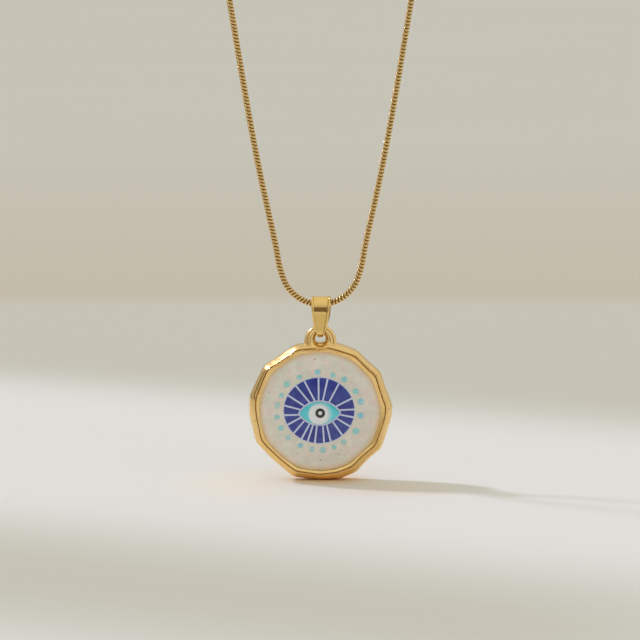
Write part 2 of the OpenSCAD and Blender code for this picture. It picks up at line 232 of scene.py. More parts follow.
# Dots: angle, distance from their middle, radius, tone from green-turquoise 0 to blue 1, paleness
DOTS = [
    (13, 5.97, 0.46, 0.7, 0.0), (29, 5.84, 0.42, 0.15, 0.0), (52, 5.69, 0.42, 0.5, 0.1),
    (70, 5.47, 0.36, 0.1, 0.1), (93, 5.53, 0.42, 0.9, 0.1), (120, 5.61, 0.39, 0.35, 0.1),
    (140, 5.94, 0.46, 0.0, 0.0), (157, 5.77, 0.38, 0.3, 0.2), (172, 5.97, 0.42, 0.3, 0.6),
    (188, 6.03, 0.39, 0.1, 0.2), (204, 5.92, 0.42, 0.3, 0.1), (221, 5.77, 0.39, 0.4, 0.4),
    (241, 5.60, 0.38, 0.9, 0.1), (259, 5.51, 0.42, 0.8, 0.5), (275, 5.55, 0.45, 0.45, 0.3),
    (292, 5.50, 0.36, 0.2, 0.1), (308, 5.59, 0.39, 0.3, 0.4), (331, 5.86, 0.45, 0.2, 0.1),
    (354, 5.81, 0.46, 0.9, 0.0),
]
DOTS_AT = (-0.13, 0.09)
DOT_SPREAD = 1.08           # how far the glass ran out past the dot's radius
DOT_RISE = 0.128            # how far a dot stands out from the pearl
DOT_UNEVEN = 0.22           # how uneven a dot's outline is, as a share of its radius
DOT_SIDES = 24
# Section of a dot, from its middle out and down into the pearl: share of the radius, share of the rise
DOT_SECTION = [
    (0.3, 0.97), (0.55, 0.85), (0.76, 0.62), (0.9, 0.36), (0.98, 0.12), (1.0, -0.05), (1.0, -0.2),
]
PEARL_T = 1.1
PEARL_SWELL = 0.012         # how uneven its face is
# Rounding of the pearl's edge, from the back: share of the radius, depth
PEARL_SECTION = [(1.0, PEARL_T), (1.0, 0.06), (0.997, 0.02), (0.99, 0.0), (0.975, 0.0), (0.96, 0.0)]
# Specks in the pearl: x, z, radius, colour
SPECKS = [
    (-0.80, 7.48, 0.13, "#3E3E32"), (2.64, -6.12, 0.12, "#3E3E32"), (2.22, -5.94, 0.07, "#6A6654"),
    (-3.16, -6.00, 0.10, "#5C5A4A"), (4.35, 4.17, 0.08, "#5C5A4A"), (-7.23, 2.72, 0.10, "#8A7468"),
    (0, -6.92, 0.14, "#7C7A6C"), (4.90, 5.23, 0.13, "#FFFDF4"), (7.10, 2.75, 0.15, "#FFFDF4"),
    (-5.03, -3.25, 0.16, "#FFFDF4"), (-2.39, 4.98, 0.15, "#F6C4BC"), (-6.6, -1.9, 0.13, "#F6CFC4"),
    (5.9, -4.4, 0.12, "#F6CFC4"), (1.2, 6.9, 0.11, "#FFFDF4"),
]
MARGIN = 0.80               # width of the pearl's edge that the gilt lip shines into
PATCH_MM = 1.6              # size of the patches in the gold that are rubbed more or less

# Window panes, in metres: name, width, height, and how far aside and up from the middle of the light
PANES = [
    ("middle", 0.105, 0.320, 0.0, 0.08), ("front", 0.2, 0.274, 0.205, -0.06),
    ("left", 0.2, 0.196, 0.155, 0.16),
]
PANE_LIGHT = 1.64           # light through a window pane, in watts per square metre
PANE_TONE = (0.68, 0.67, 0.92)      # linear red, green and blue
PANE_SPREAD = 6             # degrees
PANE_DISTANCE = 0.51        # metres
TO_WINDOW = (-0.677, 0.312, 0.654)  # direction from the pendant's foot
LIGHT_FOOT_Y = 0.008        # where the light's middle meets the board, in metres
UNLIT_WAY = (0, -0.98, 0.16)        # direction of the room's unlit end
# Glows on the board round the foot, the first one nearly white: middle, reach each way, strength, tone
BOARD_GLOWS = [
    ((-10, -4), (15, 18), 0.9, "#F3EEDC"),
    ((1, -0.5), (8, 5.5), 0.8, "#F4C574"),
    ((9, -7), (16, 10), 0.35, "#F0D2B0"),
]
# Where the board behind the pendant turns warm, is warmest, starts to pale and is pale again
WARM_BOARD = (182, 198, 200, 560)
FLOOR_REACH = 4000
CAMERA_TILT = 8             # degrees above the horizon
CAMERA_FIELD = 11.4         # degrees from side to side
CAMERA_DISTANCE = 0.45      # metres
CAMERA_TARGET = (-0.05, 0, -200.27)     # the middle of the picture


# Meshes

def to_object(name, data):
    """An object of the scene that shows a mesh, a lamp or a camera."""
    obj = bpy.data.objects.new(name, data)
    bpy.context.scene.collection.objects.link(obj)
    return obj


def mesh_piece(name, points, faces, sharp=180):
    """A closed mesh from points in millimetres. Edges bent by more than sharp degrees stay hard."""
    mesh = bpy.data.meshes.new(name)
    mesh.from_pydata([tuple(c * MM for c in p) for p in points], [], faces)
    outward(mesh, sharp)
    return to_object(name, mesh)


def outward(mesh, sharp):
    """Turns the faces outward and shades them smoothly, apart from hard edges."""
    bm = bmesh.new()
    bm.from_mesh(mesh)
    bmesh.ops.recalc_face_normals(bm, faces=bm.faces)
    bm.to_mesh(mesh)
    bm.free()
    mesh.shade_smooth()
    if sharp < 180:
        mesh.set_sharp_from_angle(angle=math.radians(sharp))


def loft_faces(rows, columns, first=0, close_rows=False):
    """Quads between rows of points, each row a closed ring of so many columns."""
    faces = []
    for i in range(rows if close_rows else rows - 1):
        for k in range(columns):
            a, b = first + i * columns, first + (i + 1) % rows * columns
            faces.append((a + k, a + (k + 1) % columns, b + (k + 1) % columns, b + k))
    return faces


def fan(ring, centre):
    """Triangles that close a ring of points to a centre point."""
    return [(ring[k], ring[(k + 1) % len(ring)], centre) for k in range(len(ring))]


def end_fans(count, columns, first=0):
    """Fans over the first and the last ring of a loft, to two centre points that follow its own."""
    return fan(range(first, first + columns), count) + fan(range(count - columns, count), count + 1)


def clamp(share):
    """A share, kept from 0 to 1."""
    return min(1, max(0, share))


def keep_values(mesh, name, values):
    """Keeps a value for each point on the mesh, for its material to read."""
    mesh.attributes.new(name, "FLOAT", "POINT").data.foreach_set("value", np.array(values, np.float32))


def read_row(table, x):
    """The table's other columns at x, between its rows."""
    table = np.array(sorted(table), float)
    return [np.interp(x, table[:, 0], table[:, c]) for c in range(1, table.shape[1])]


def cast_wave(x, y, z, size, seed):
    """A slow random swell, from -1 to 1, whose waves are about so many millimetres long."""
    return noise.noise(Vector((x, y, z)) / size + Vector((seed, -seed, 0.5 * seed)))


# Chain

def smooth_route(step):
    """The chain's route as a smooth curve: points about a step apart, with the length up to each."""
    right = HALF_ROUTE[:0:-1]
    left = [(-x, z) for x, z in HALF_ROUTE]
    points = np.array(right + left, float)
    spans = np.diff(points, axis=0)
    lengths = np.linalg.norm(spans, axis=1)
    slopes = spans / lengths[:, None]
    before, after = lengths[:-1, None], lengths[1:, None]
    inner = (slopes[:-1] * after + slopes[1:] * before) / (before + after)
    headings = np.vstack([slopes[:1], inner, slopes[-1:]])
    curve = []
    for i, length in enumerate(lengths):
        for t in np.arange(0, 1, step / length):
            curve.append(
                points[i] * (2 * t**3 - 3 * t**2 + 1) + points[i + 1] * (3 * t**2 - 2 * t**3)
                + headings[i] * length * (t**3 - 2 * t**2 + t)
                + headings[i + 1] * length * (t**3 - t**2)
            )
    curve = np.array(curve + [points[-1]])
    along = np.concatenate([[0], np.cumsum(np.linalg.norm(np.diff(curve, axis=0), axis=1))])
    return curve, along


def chain_pieces(material):
    """Snake chain: saddle-shaped links that nest into each other. Seen from the front they show as
    chevrons on the right strand, and a twist of an eighth of a turn slants them on the left."""
    curve, along = smooth_route(step=0.1)
    total = along[-1]
    links = round(total / LINK_PITCH)
    pitch = total / links
    direction = np.gradient(curve, along, axis=0)
    side_angle = np.linspace(0, 2 * math.pi, LINK_SIDES, endpoint=False)

    def ring(at, radius):
        twist = math.radians(CHAIN_TWIST) * np.clip((at / total - TWIST_FROM) / TWIST_OVER, 0, 1)
        s = np.clip(at + LINK_WAVE * np.cos(2 * (side_angle - twist)), 0, total)
        x, z = np.interp(s, along, curve[:, 0]), np.interp(s, along, curve[:, 1])
        dx, dz = np.interp(s, along, direction[:, 0]), np.interp(s, along, direction[:, 1])
        across = radius * np.sin(side_angle)
        return np.stack([x - dz * across, -radius * np.cos(side_angle), z + dx * across], axis=1)

    names = ["chain_right_upper", "chain_right_lower", "chain_left_lower", "chain_left_upper"]
    bounds = np.linspace(0, links, len(names) + 1).round().astype(int)
    for name, first, last in zip(names, bounds, bounds[1:]):
        rows = [ring((i + share) * pitch, r) for i in range(first, last) for share, r in LINK_SECTION]
        rows.append(ring(last * pitch, LINK_SECTION[0][1]))
        points = np.concatenate(rows)
        ends = [rows[0].mean(axis=0), rows[-1].mean(axis=0)]
        faces = loft_faces(len(rows), LINK_SIDES) + end_fans(len(points), LINK_SIDES)
        obj = mesh_piece(name, np.concatenate([points, ends]), faces)
        # Painted shade between the links: the deeper under the link's outer radius, the darker
        between = [clamp((LINK_GAP_R - r) / LINK_GAP_FADE) for _, r in LINK_SECTION] * (last - first) + [1.0]
        keep_values(obj.data, "shade_mask", list(np.repeat(between, LINK_SIDES)) + [1.0, 1.0])
        place(obj, "root", material, "chain")


# Bail

def bail_stations():
    """Points round the bail, seen from the side: y and z of the outer surface, its normal, and the
    metal's thickness there. They run down the front, round the tongue and up the back."""
    y, z, slope = 0.0, BAIL_TOP_Z, 90.0
    front = [(y, z, slope)]
    for length, end in BAIL_BENDS:
        steps = max(4, round(length / BAIL_STEP))
        for k in range(steps):
            middle = math.radians(slope + (end - slope) * (k + 0.5) / steps)
            y -= length / steps * math.sin(middle)
            z -= length / steps * math.cos(middle)
            front.append((y, z, slope + (end - slope) * (k + 1) / steps))
        slope = end
    tilt = math.radians(slope)
    tongue_r = math.cos(tilt) * (-y + (z - BAR_Z) * math.tan(tilt))
    low = [(-tongue_r * math.cos(math.radians(e)), BAR_Z + tongue_r * math.sin(math.radians(e)), e)
           for e in np.linspace(slope, -90, 20)]
    low_y, low_z, _ = low[0]
    front += [(y + (low_y - y) * t, z + (low_z - z) * t, slope) for t in np.linspace(0, 1, 21)[1:-1]]
    front += low
    back = [(-y, z, 180 - e) for y, z, e in front[-2:0:-1]]
    stations = []
    for y, z, e in front + back:
        share = np.clip((z - BAR_Z) / (SWING_Z - BAR_Z), 0, 1)
        normal = -math.cos(math.radians(e)), math.sin(math.radians(e))
        stations.append((y, z, *normal, TONGUE_T + (BAIL_T - TONGUE_T) * share))
    return stations


def bail_section(half, rim, thick, dish):
    """Section across the strip: x, and depth under the outer surface. Its edges are raised."""
    dish *= rim / BAIL_RIM
    edge = 0.4 * thick
    inner = [(0.4 * half, thick), (half - 0.3 * edge, thick), (half - 0.05 * edge, thick - 0.25 * edge)]
    outer = [(half, 0.5 * thick)]
    outer += [(half - across * rim, rounding * edge + sink * dish) for across, rounding, sink in BAIL_EDGE]
    outer += [(0.4 * half, 1.05 * dish)]
    right = [(0, thick)] + inner + outer + [(0, 1.08 * dish)]
    left = [(-x, d) for x, d in reversed(right[1:-1])]
    return right + left


def bail_shade(x, depth, foot, thick):
    """How dark the painted shade is: under the strip, and in a line at each raised edge's foot."""
    if depth > 0.46 * thick:
        return BAIL_UNDERSIDE_SHADE
    return BAIL_SHADE_LINES[int(x > 0)] * (abs(abs(x) - foot) < BAIL_LINE_W)


def bail(material):
    """The bail: a strip folded over the chain and through the eyelet, with a sunk panel."""
    points, shade_mask = [], []
    stations = bail_stations()
    for y, z, ny, nz, thick in stations:
        (half,) = read_row(BAIL_OUTLINE, z - SWING_Z)
        rim = min(BAIL_RIM, half * BAIL_RIM_MOST)
        dish = BAIL_DISH * min(1, BAIL_DISH_TOP + (BAIL_TOP_Z - z) / BAIL_DISH_RUN)
        section = bail_section(half, rim, thick, dish)
        columns = len(section)
        for x, depth in section:
            # Painted shade under the strip and along the raised edges
            shade_mask.append(bail_shade(x, depth, half - BAIL_EDGE_FOOT * rim, thick))
            p = (x, y - ny * depth, z - nz * depth)
            swell = BAIL_SWELL * cast_wave(*p, size=1.2, seed=3)
            skew = BAIL_SKEW * (p[1] + BAIL_FRONT) * clamp((z - BAR_Z) / BAIL_SKEW_RUN)
            points.append((p[0] + skew, p[1] + ny * swell, p[2] + nz * swell))
    obj = mesh_piece("bail_strip", points, loft_faces(len(stations), columns, close_rows=True), sharp=60)
    keep_values(obj.data, "shade_mask", shade_mask)
    place(obj, "bail", material, "bail")


# Case

def corner_table():
    """Outline, groove, pearl edge, lean and filing of the case's wall at each step round it."""
    angles = np.arange(CASE_STEPS) * 360 / CASE_STEPS
    outline, groove, lean, filed = (np.zeros(CASE_STEPS) for _ in range(4))
    for i, row in enumerate(CORNERS):
        after = CORNERS[(i + 1) % len(CORNERS)]
        span = (after[0] - row[0]) % 360
        part = (angles - row[0]) % 360
        here = part < span
        part = part[here]
        for values, a, b in ((outline, row[1], after[1]), (groove, row[2], after[2])):
            chord = a * b * np.sin(np.radians(span)) / (
                a * np.sin(np.radians(part)) + b * np.sin(np.radians(span - part)))
            share = part / span
            values[here] = chord + row[3] * 4 * share * (1 - share)
        lean[here], filed[here] = row[4:]
    turn = np.radians(angles)
    circle = PEARL_R + PEARL_AT[0] * np.cos(turn) + PEARL_AT[1] * np.sin(turn)
    pearl_edge = (circle + soften(groove, 2 * CORNER_SOFT) - LIP_W) / 2
    return (angles, soften(outline, CORNER_SOFT), soften(groove, CORNER_SOFT), pearl_edge,
            soften(lean, 2 * CORNER_SOFT), soften(filed, 2 * CORNER_SOFT))


def soften(values, reach):
    """Averages a ring of values over so many degrees to each side."""
    steps = round(reach * CASE_STEPS / 360 * 2)
    weights = {k: 1 + math.cos(math.pi * k / (steps + 1)) for k in range(-steps, steps + 1)}
    return sum(np.roll(values, k) * w for k, w in weights.items()) / sum(weights.values())


def case_ring(at, outline, groove, pearl_edge):
    """Radius of the case at a place in its section, for each step round it."""
    return outline + (groove - outline) * at if at <= 1 else groove + (at - 1) * (pearl_edge - groove)


def case_loft():
    """The case's body: its section swept round the corners, with the slight swell of a casting."""
    angles, outline, groove, pearl_edge, lean, filed = corner_table()
    filed_from, filed_depth, filed_drop = FILED_EDGE
    (line_at,) = read_row(CAST_LINE, angles)
    (painted_shade,) = read_row(GROOVE_SHADE, angles)
    in_line = (angles > CAST_LINE[0][0]) & (angles < CAST_LINE[-1][0])
    points, shade_mask = [], []
    for at, section_depth in CASE_SECTION:
        leaning = lean * max(0, 1 - at) * (section_depth / CASE_DEPTH - LEAN_PIVOT)
        radius = case_ring(at, outline, groove, pearl_edge) + leaning
        line = np.clip(CAST_LINE_FLAT - CAST_LINE_FLAT * abs(at - line_at) / CAST_LINE_REACH, 0, 1)
        line *= in_line * (section_depth < 0.5 * CASE_DEPTH)
        # Painted shade in the groove and along the cast line
        shade_mask += list(np.maximum(line, painted_shade * max(0, 1 - abs(at - 1) / GROOVE_REACH)))
        depths = section_depth + CAST_LINE_DEPTH * line
        if at < filed_from and section_depth < filed_depth + filed_drop:
            depths += filed * (filed_depth + filed_drop * (1 - at / filed_from) - section_depth)
        for angle, r, depth in zip(np.radians(angles), radius, depths):
            x, z = r * math.cos(angle), r * math.sin(angle)
            swell = sum(height * cast_wave(x, depth, z, size, seed) for height, size, seed in CASE_SWELLS)
            # The swell dies out towards the pearl's seat and the flat back
            swell *= clamp((SEAT - at) * 3) * min(1, (CASE_DEPTH - depth) * 4 + 0.2)
            out = 1 if at < 1 else LIP_SWELL
            grow = 1 + out * swell / r
            points.append((x * grow, FRONT_Y + depth + (1 - out) * swell * 0.5, CENTRE_Z + z * grow))
    xs, ys, zs = np.array(points).T
    # Painted shade of the pits, only in the front
    for x, z, radius in PIT_SHADES:
        pit_shade = 1 - np.hypot(xs - x, zs - CENTRE_Z - z) / radius
        shade_mask = np.maximum(shade_mask, pit_shade * (ys < FRONT_Y + 0.8))
    faces = loft_faces(len(CASE_SECTION), CASE_STEPS) + end_fans(len(points), CASE_STEPS)
    points += [(0, FRONT_Y + CASE_DEPTH, CENTRE_Z), (0, FRONT_Y + CASE_SECTION[-1][1], CENTRE_Z)]
    obj = mesh_piece("case_loft", points, faces)
    keep_values(obj.data, "shade_mask", [*shade_mask, 0.0, 0.0])
    return obj


def eyelet():
    """The eyelet's ring: it leans back from the case's face, and its foot flares into the rim."""
    painted_shade_from, painted_shade_fade = EYELET_HOLE_SHADE
    line_at, line_w, line_dark = EYELET_SHADE_LINE
    rear_dark, wall_dark = EYELET_WALL_SHADE
    points, shade_mask = [], []
    for step in range(EYELET_STEPS):
        turn = math.radians(360 * step / EYELET_STEPS)
        across, up = math.cos(turn), math.sin(turn)
        hole, outer, front, back = read_row(EYELET_RING, math.degrees(math.asin(up)))
        low_back = 1 / math.hypot(across / EYELET_BACK_A, up / EYELET_BACK_B)
        inner_back = hole + (low_back - hole) * clamp(-3 * up) + EYELET_BEVEL * clamp(2.5 * up)
        wall = back - front
        hole_wall = wall - EYELET_WALL_FRONT - EYELET_WALL_BACK
        section = [(hole + (outer - hole) * share, front + depth) for share, depth in EYELET_SECTION]
        section += [(outer, front + 0.5 * wall), (outer - 0.02, front + 0.62 * wall)]
        section += [(outer - aside, back - ahead) for aside, ahead in EYELET_REAR_OUTER]
        section += [(inner_back + aside, back - ahead) for aside, ahead in EYELET_REAR_INNER]
        section += [(hole + (inner_back - hole) * taper, front + EYELET_WALL_FRONT + share * hole_wall)
                    for share, taper in EYELET_WALL]
        columns = len(section)
        # Painted shade towards the hole, in the groove's line, and at the rear of the hole and along its wall
        for share, _ in EYELET_SECTION:
            in_line = abs(share - line_at) < line_w
            shade_mask.append(clamp((painted_shade_from - share) / painted_shade_fade) + line_dark * in_line)
        shade_mask += [0.0] * (columns - len(EYELET_SECTION) - len(EYELET_WALL) - 1)
        shade_mask += [rear_dark] + [wall_dark] * len(EYELET_WALL)
        for r, y in section:
            x, z = r * across, r * up
            swell = EYELET_SWELL * cast_wave(x, y, z, size=0.9, seed=21)
            grow = 1 + swell / r
            points.append((x * grow, y, HOLE_Z + z * grow))
    obj = mesh_piece("eyelet_ring", points, loft_faces(EYELET_STEPS, columns, close_rows=True))
    keep_values(obj.data, "shade_mask", shade_mask)
    return obj


def combine(obj, other, operation):
    """Joins or cuts obj with another mesh, which is used up."""
    modifier = obj.modifiers.new(operation, "BOOLEAN")
    modifier.operation, modifier.object, modifier.solver = operation, other, "EXACT"
    depsgraph = bpy.context.evaluated_depsgraph_get()
    mesh = bpy.data.meshes.new_from_object(obj.evaluated_get(depsgraph))
    obj.modifiers.clear()
    obj.data = mesh
    bpy.data.objects.remove(other)


def case(material):
    """One casting: the body, bored where the eyelet stands, and the eyelet's ring in that bore."""
    obj = case_loft()
    columns, ends = 48, (-3, 3)
    points = [(EYELET_BORE_R * math.cos(a), y, HOLE_Z + EYELET_BORE_R * math.sin(a))
              for y in ends for a in np.linspace(0, 2 * math.pi, columns, endpoint=False)]
    faces = loft_faces(2, columns) + end_fans(len(points), columns)
    points += [(0, y, HOLE_Z) for y in ends]
    combine(obj, mesh_piece("bore", points, faces), "DIFFERENCE")
    combine(obj, eyelet(), "UNION")
    obj.name = "case_casting"
    outward(obj.data, sharp=48)
    place(obj, "pendant", material, "case")


# Pearl

def pearl(material):
    """The mother-of-pearl disc, ground flat with a faint swell and a softened edge."""
    angles, outline, groove, pearl_edge, _, _ = corner_table()
    edge = case_ring(SEAT + 0.01, outline, groove, pearl_edge)
    rows = PEARL_SECTION + [(s, 0.0) for s in np.linspace(0.94, 0.04, 31)]
    points, margin = [], []
    for share, depth in rows:
        margin += list(np.clip(1 - (1 - share) * edge / MARGIN, 0, 1) ** 1.4)
        for angle, r in zip(np.radians(angles), edge * share):
            x, z = r * math.cos(angle), r * math.sin(angle)
            swell = PEARL_SWELL * cast_wave(x, 0, z, size=4, seed=31) * (share < 0.99)
            points.append((x, FACE_Y + depth - abs(swell) * 0.5, CENTRE_Z + z))
    faces = loft_faces(len(rows), CASE_STEPS) + end_fans(len(points), CASE_STEPS)
    points += [(0, FACE_Y + PEARL_T, CENTRE_Z), (0, FACE_Y, CENTRE_Z)]
    obj = mesh_piece("pearl_disc", points, faces, sharp=50)
    keep_values(obj.data, "margin", margin + [0.0, 0.0])
    place(obj, "pendant", material, "pearl_face")


# Enamel

def on_oval(angle, grow=0.0):
    """A point of the oval, or of one that is so much larger."""
    a = math.radians(angle)
    return (OVAL_AT[0] + (OVAL_A + grow) * math.cos(a), OVAL_AT[1] + (OVAL_B + grow) * math.sin(a))


def on_lids(angle, grow=0.0):
    """Where a line from the eye's middle meets the lids, drawn so far outside them."""
    radius, drop = LID_R + grow, LID_R - LID_B
    up = abs(math.sin(math.radians(angle - LID_TILT)))
    reach = math.sqrt(radius**2 - drop**2 * (1 - up**2)) - drop * up
    a = math.radians(angle)
    return (EYE_AT[0] + reach * math.cos(a), EYE_AT[1] + reach * math.sin(a))


def on_circle(middle, radius, angle):
    """A point of a circle round a middle."""
    a = math.radians(angle)
    return (middle[0] + radius * math.cos(a), middle[1] + radius * math.sin(a))


def ring_of(point_at, steps=ROUND_STEPS):
    """A loop of points, one for each of so many equal turns."""
    return [point_at(360 * k / steps) for k in range(steps)]


def inset(loop, by):
    """A loop of points moved to its left, which is inward on one that runs counterclockwise."""
    loop = np.array(loop, float)
    ahead = np.roll(loop, -1, axis=0) - loop
    ahead /= np.linalg.norm(ahead, axis=1)[:, None]
    behind = np.roll(ahead, 1, axis=0)
    left = np.stack([-(ahead + behind)[:, 1], (ahead + behind)[:, 0]], axis=1)
    left /= np.maximum(np.linalg.norm(left, axis=1)[:, None], 1e-9)
    widen = 1 / np.maximum(np.sqrt((1 + (ahead * behind).sum(axis=1)) / 2), 0.45)
    return loop + left * (by * widen)[:, None]


def inlay(shapes, level, soft):
    """Points and faces of enamel shapes on one level. A shape is an outline and its holes, and its
    top edge is rounded over a soft width, as enamel draws up at its border."""
    base = FACE_Y + LET_IN - LAYER_ROOT * LAYER * max(0, level - 1)
    top = FACE_Y - LAYER * (level + 1)
    rows = [(0, base), (0, top + 0.6 * soft), (0.3 * soft, top + 0.17 * soft), (soft, top)]
    points, faces = [], []
    for outline, *holes in shapes:
        loops = [outline] + [hole[::-1] for hole in holes]
        firsts = []
        for loop in loops:
            firsts.append(len(points))
            faces += loft_faces(len(rows), len(loop), len(points))
            for by, y in rows:
                points.extend((x, y, CENTRE_Z + z) for x, z in inset(loop, by))
        for row in (0, len(rows) - 1):
            rings = [range(first + row * len(loop), first + (row + 1) * len(loop))
                     for first, loop in zip(firsts, loops)]
            flat = [[Vector((points[k][0], points[k][2], 0)) for k in ring] for ring in rings]
            index = [k for ring in rings for k in ring]
            faces += [tuple(index[k] for k in tri) for tri in tessellate_polygon(flat)]
    return points, faces


def ray(oval_angle, lid_angle):
    """Outline of one ray, a little narrower at the lids."""
    inner = np.array(on_lids(lid_angle, RAY_ENDS[0]))
    outer = np.array(on_oval(oval_angle, RAY_ENDS[1]))
    run = (outer - inner) / np.linalg.norm(outer - inner)
    side = np.array([-run[1], run[0]]) * LINE_W / 2
    narrow, wide = (width * side for width in RAY_WIDTHS)
    return [inner - narrow, outer - wide, outer + wide, inner + narrow]


def enamel(finishes):
    """The eye's enamels: for each piece its node, its finish, its shapes, its level and how wide its
    edge is rounded."""
    oval = ring_of(on_oval)
    oval_line = [oval, ring_of(lambda a: on_oval(a, -0.4 * LINE_W))]
    lid_line = [ring_of(lambda a: on_lids(a, 0.8 * LINE_W)), ring_of(on_lids)]
    between_lids = ring_of(lambda a: on_lids(a, -ENAMEL_GAP))
    pupil = ring_of(lambda a: on_circle(PUPIL_AT, PUPIL_R, a), 48)
    pupil_hole = ring_of(lambda a: on_circle(PUPIL_AT, PUPIL_DOT_R + ENAMEL_GAP, a), 32)
    pupil_spot = ring_of(lambda a: on_circle(PUPIL_AT, PUPIL_DOT_R, a), 32)
    lines = [oval_line, lid_line, *[[ray(*angles)] for angles in RAYS]]
    pieces = {
        "blue_field": ("blue_oval", "blue_enamel", [[oval]], 0, 0.06),
        "pale_lines": ("ray_lines", "pale_enamel", lines, 1, 0.035),
        "almond_field": ("almond", "turquoise_enamel", [[between_lids]], 1, 0.04),
        "iris_disc": ("iris", "white_enamel", [[ring_of(iris_edge, 96)]], 2, 0.05),
        "pupil_circle": ("pupil_ring", "black_enamel", [[pupil, pupil_hole]], 3, 0.035),
        "pupil_spot": ("pupil_dot", "white_enamel", [[pupil_spot]], 3, 0.035),
    }
    for name, (node, slot, shapes, level, soft) in pieces.items():
        obj = mesh_piece(name, *inlay(shapes, level, soft), sharp=60)
        place(obj, "pendant", finishes[slot], node)


def iris_edge(angle):
    """The iris: a disc, cut where the lids cover it."""
    x, z = on_circle(IRIS_AT, IRIS_R, angle)
    towards = math.degrees(math.atan2(z - EYE_AT[1], x - EYE_AT[0]))
    lid = on_lids(towards, -ENAMEL_GAP)
    return lid if math.dist(lid, EYE_AT) < math.dist((x, z), EYE_AT) else (x, z)


def dots(material):
    """Drops of opal glass, each a low dome, with its tone kept on the mesh for the material."""
    base = FACE_Y - 0.01
    points, faces, tones = [], [], []
    for angle, reach, radius, tone, pale in DOTS:
        x, z = on_circle(DOTS_AT, reach, angle)
        first = len(points)
        for share, rise in DOT_SECTION:
            for k in range(DOT_SIDES):
                turn = 2 * math.pi * k / DOT_SIDES
                across, up = math.cos(turn), math.sin(turn)
                uneven = 1 + DOT_UNEVEN * cast_wave(across, angle, up, size=1.1, seed=41)
                r = DOT_SPREAD * radius * share * uneven
                points.append((x + r * across, base - rise * DOT_RISE, CENTRE_Z + z + r * up))
                tones.append((tone, pale, share))
        faces += loft_faces(len(DOT_SECTION), DOT_SIDES, first) + end_fans(len(points), DOT_SIDES, first)
        points += [(x, base - DOT_RISE, CENTRE_Z + z), (x, FACE_Y + 0.02, CENTRE_Z + z)]
        tones += [(tone, pale, 0), (tone, pale, 1)]
    obj = mesh_piece("opal_dots", points, faces)
    layer = obj.data.attributes.new("drop", "FLOAT_VECTOR", "POINT")
    layer.data.foreach_set("vector", np.array(tones, np.float32).ravel())
    place(obj, "pendant", material, "dots")


def coat(obj, material):
    """Gives an object one material all over."""
    obj.data.materials.clear()
    obj.data.materials.append(material)


def place(obj, body, material, node):
    """Gives a piece its material and its body, and hides the CAD node that it stands for."""
    coat(obj, material)
    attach(obj, body)
    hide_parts(node)


# Materials

def to_linear(hex_colour):
    """Linear RGBA of an sRGB hex colour."""
    channels = [int(hex_colour[i:i + 2], 16) / 255 for i in (1, 3, 5)]
    return [c / 12.92 if c <= 0.04045 else ((c + 0.055) / 1.055) ** 2.4 for c in channels] + [1.0]


def add(tree, kind, settings=None, links=None):
    """Adds a shader node. Settings fill its properties or inputs, and links join sockets to inputs."""
    node = tree.nodes.new("ShaderNode" + kind)
    for key, value in (settings or {}).items():
        if isinstance(key, str) and hasattr(node, key):
            setattr(node, key, value)
        else:
            node.inputs[key].default_value = value
    for key, socket in (links or {}).items():
        tree.links.new(socket, node.inputs[key])
    return node


def new_material(name, **constants):
    """A material with its Principled shader, whose even values are set on the shader's own sockets."""
    material = bpy.data.materials.new(name)
    material.use_nodes = True
    tree = material.node_tree
    shader = tree.nodes["Principled BSDF"]
    for key, value in constants.items():
        shader.inputs[key.replace("_", " ")].default_value = value
    where = add(tree, "TexCoord").outputs["Object"]
    return material, tree, shader, where


def per_mm(size):
    """Texture scale for a pattern whose parts are so many millimetres wide."""
    return 1 / (size * MM)


def near_point(tree, where, point, start, end, low=0.0, high=1.0):
    """A share that runs from low to high between two distances from a point, in millimetres."""
    offset = add(tree, "VectorMath", {"operation": "DISTANCE", 1: tuple(c * MM for c in point)}, {0: where})
    limits = {"From Min": start * MM, "From Max": end * MM, "To Min": low, "To Max": high}
    return add(tree, "MapRange", limits, {"Value": offset.outputs["Value"]}).outputs["Result"]


def mix_colours(tree, factor, first, second):
    """Colour between two, each a hex value or a socket."""
    settings, links = {"data_type": "RGBA"}, {0: factor}
    for index, colour in ((6, first), (7, second)):
        if isinstance(colour, str):
            settings[index] = to_linear(colour)
        else:
            links[index] = colour
    return add(tree, "Mix", settings, links).outputs[2]


def gold_plate(name, clean, worn, rough, wave_mm, wave_um, lacquer=0.0, painted_shade="#643A0C", painted_shade_share=0.8):
    """Gold plate over brass, polished by hand: a warm mirror, softened by fine rubbing marks, which
    bends what it reflects where the metal under it is uneven. It is darkened brown with painted
    shade where the mesh marks creases, gaps and hollows. Clear lacquer over it turns the brightest glints
    white."""
    material, tree, shader, where = new_material(name, Metallic=1.0, Coat_Weight=lacquer, Coat_Roughness=0.12)
    patches = add(tree, "TexNoise", {"Scale": per_mm(PATCH_MM), "Detail": 3.0, "Roughness": 0.6},
                  {"Vector": where})
    colour = mix_colours(tree, patches.outputs["Fac"], clean, worn)
    # Painted shade: brown mixed in where the mesh's mask marks creases, gaps and hollows
    shade_mask = add(tree, "Attribute", {"attribute_name": "shade_mask"})
    shaded = add(tree, "Math", {"operation": "MULTIPLY", 1: painted_shade_share}, {0: shade_mask.outputs["Fac"]})
    colour = mix_colours(tree, shaded.outputs["Value"], colour, painted_shade)
    limits = {"From Min": 0.3, "From Max": 0.7, "To Min": rough * 0.85, "To Max": rough * 1.2}
    rubbed = add(tree, "MapRange", limits, {"Value": patches.outputs["Fac"]})
    waves = add(tree, "TexNoise", {"Scale": per_mm(wave_mm), "Detail": 2.0}, {"Vector": where})
    swell = add(tree, "Bump", {"Distance": wave_um * 1e-6, "Strength": 1.0}, {"Height": waves.outputs["Fac"]})
    tree.links.new(colour, shader.inputs["Base Color"])
    tree.links.new(rubbed.outputs["Result"], shader.inputs["Roughness"])
    tree.links.new(swell.outputs["Normal"], shader.inputs["Normal"])
    return material


